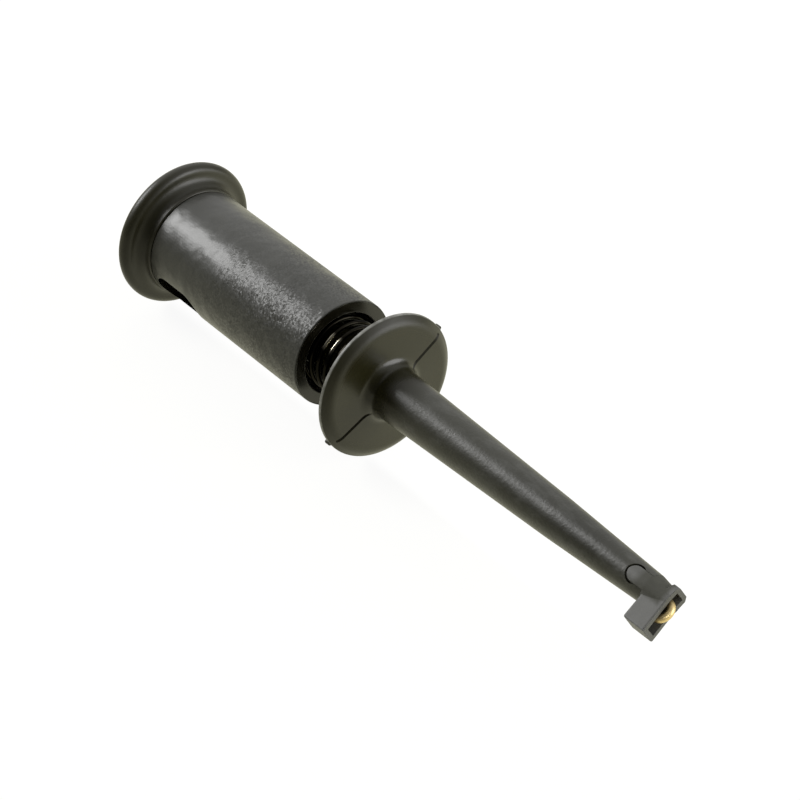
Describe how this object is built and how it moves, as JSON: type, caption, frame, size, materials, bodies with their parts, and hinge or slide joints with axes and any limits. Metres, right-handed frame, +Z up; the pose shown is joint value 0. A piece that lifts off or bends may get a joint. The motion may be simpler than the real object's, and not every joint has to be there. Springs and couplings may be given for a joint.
{
  "type": "test hook clip",
  "caption": "Plunger-type test hook clip: pressing the thumb cap slides the barrel on the nose and pushes a gold wire hook out of the slotted foot at the tip; a spring pulls it back.",
  "frame": {"origin": "the grip: on the front face of the tip shoe, midway between the hook's two legs, where a gripped lead lies", "axes": "+X along the clip from the thumb cap to the tip, +Z up; the foot points 31 degrees below level, to the -Y side"},
  "size_m": [0.0572, 0.0113, 0.0113],
  "materials": {
    "nose_plastic": "moulded black nylon, satin",
    "shoe_plastic": "moulded black nylon, dull",
    "spring_steel": "dark oiled spring wire",
    "barrel_plastic": "moulded black nylon, matt and scuffed",
    "cap_plastic": "moulded black nylon, glossy",
    "hook_gold": "gold-plated copper alloy wire",
    "terminal_brass": "turned brass"
  },
  "bodies": {
    "nose": {"nose_body": "nose_plastic", "tip_shoe": "shoe_plastic", "return_spring": "spring_steel"},
    "plunger": {"plunger_barrel": "barrel_plastic", "thumb_cap": "cap_plastic", "hook_contact": "hook_gold", "hook_terminal": "terminal_brass"}
  },
  "joints": [
    {"name": "plunger_slide", "type": "slide", "parent": "nose", "child": "plunger", "axis": [1, 0, 0], "range_m": [0, 0.004], "stiffness_N_per_m": 400, "springref_m": -0.004, "deforming": ["return_spring"]}
  ]
}
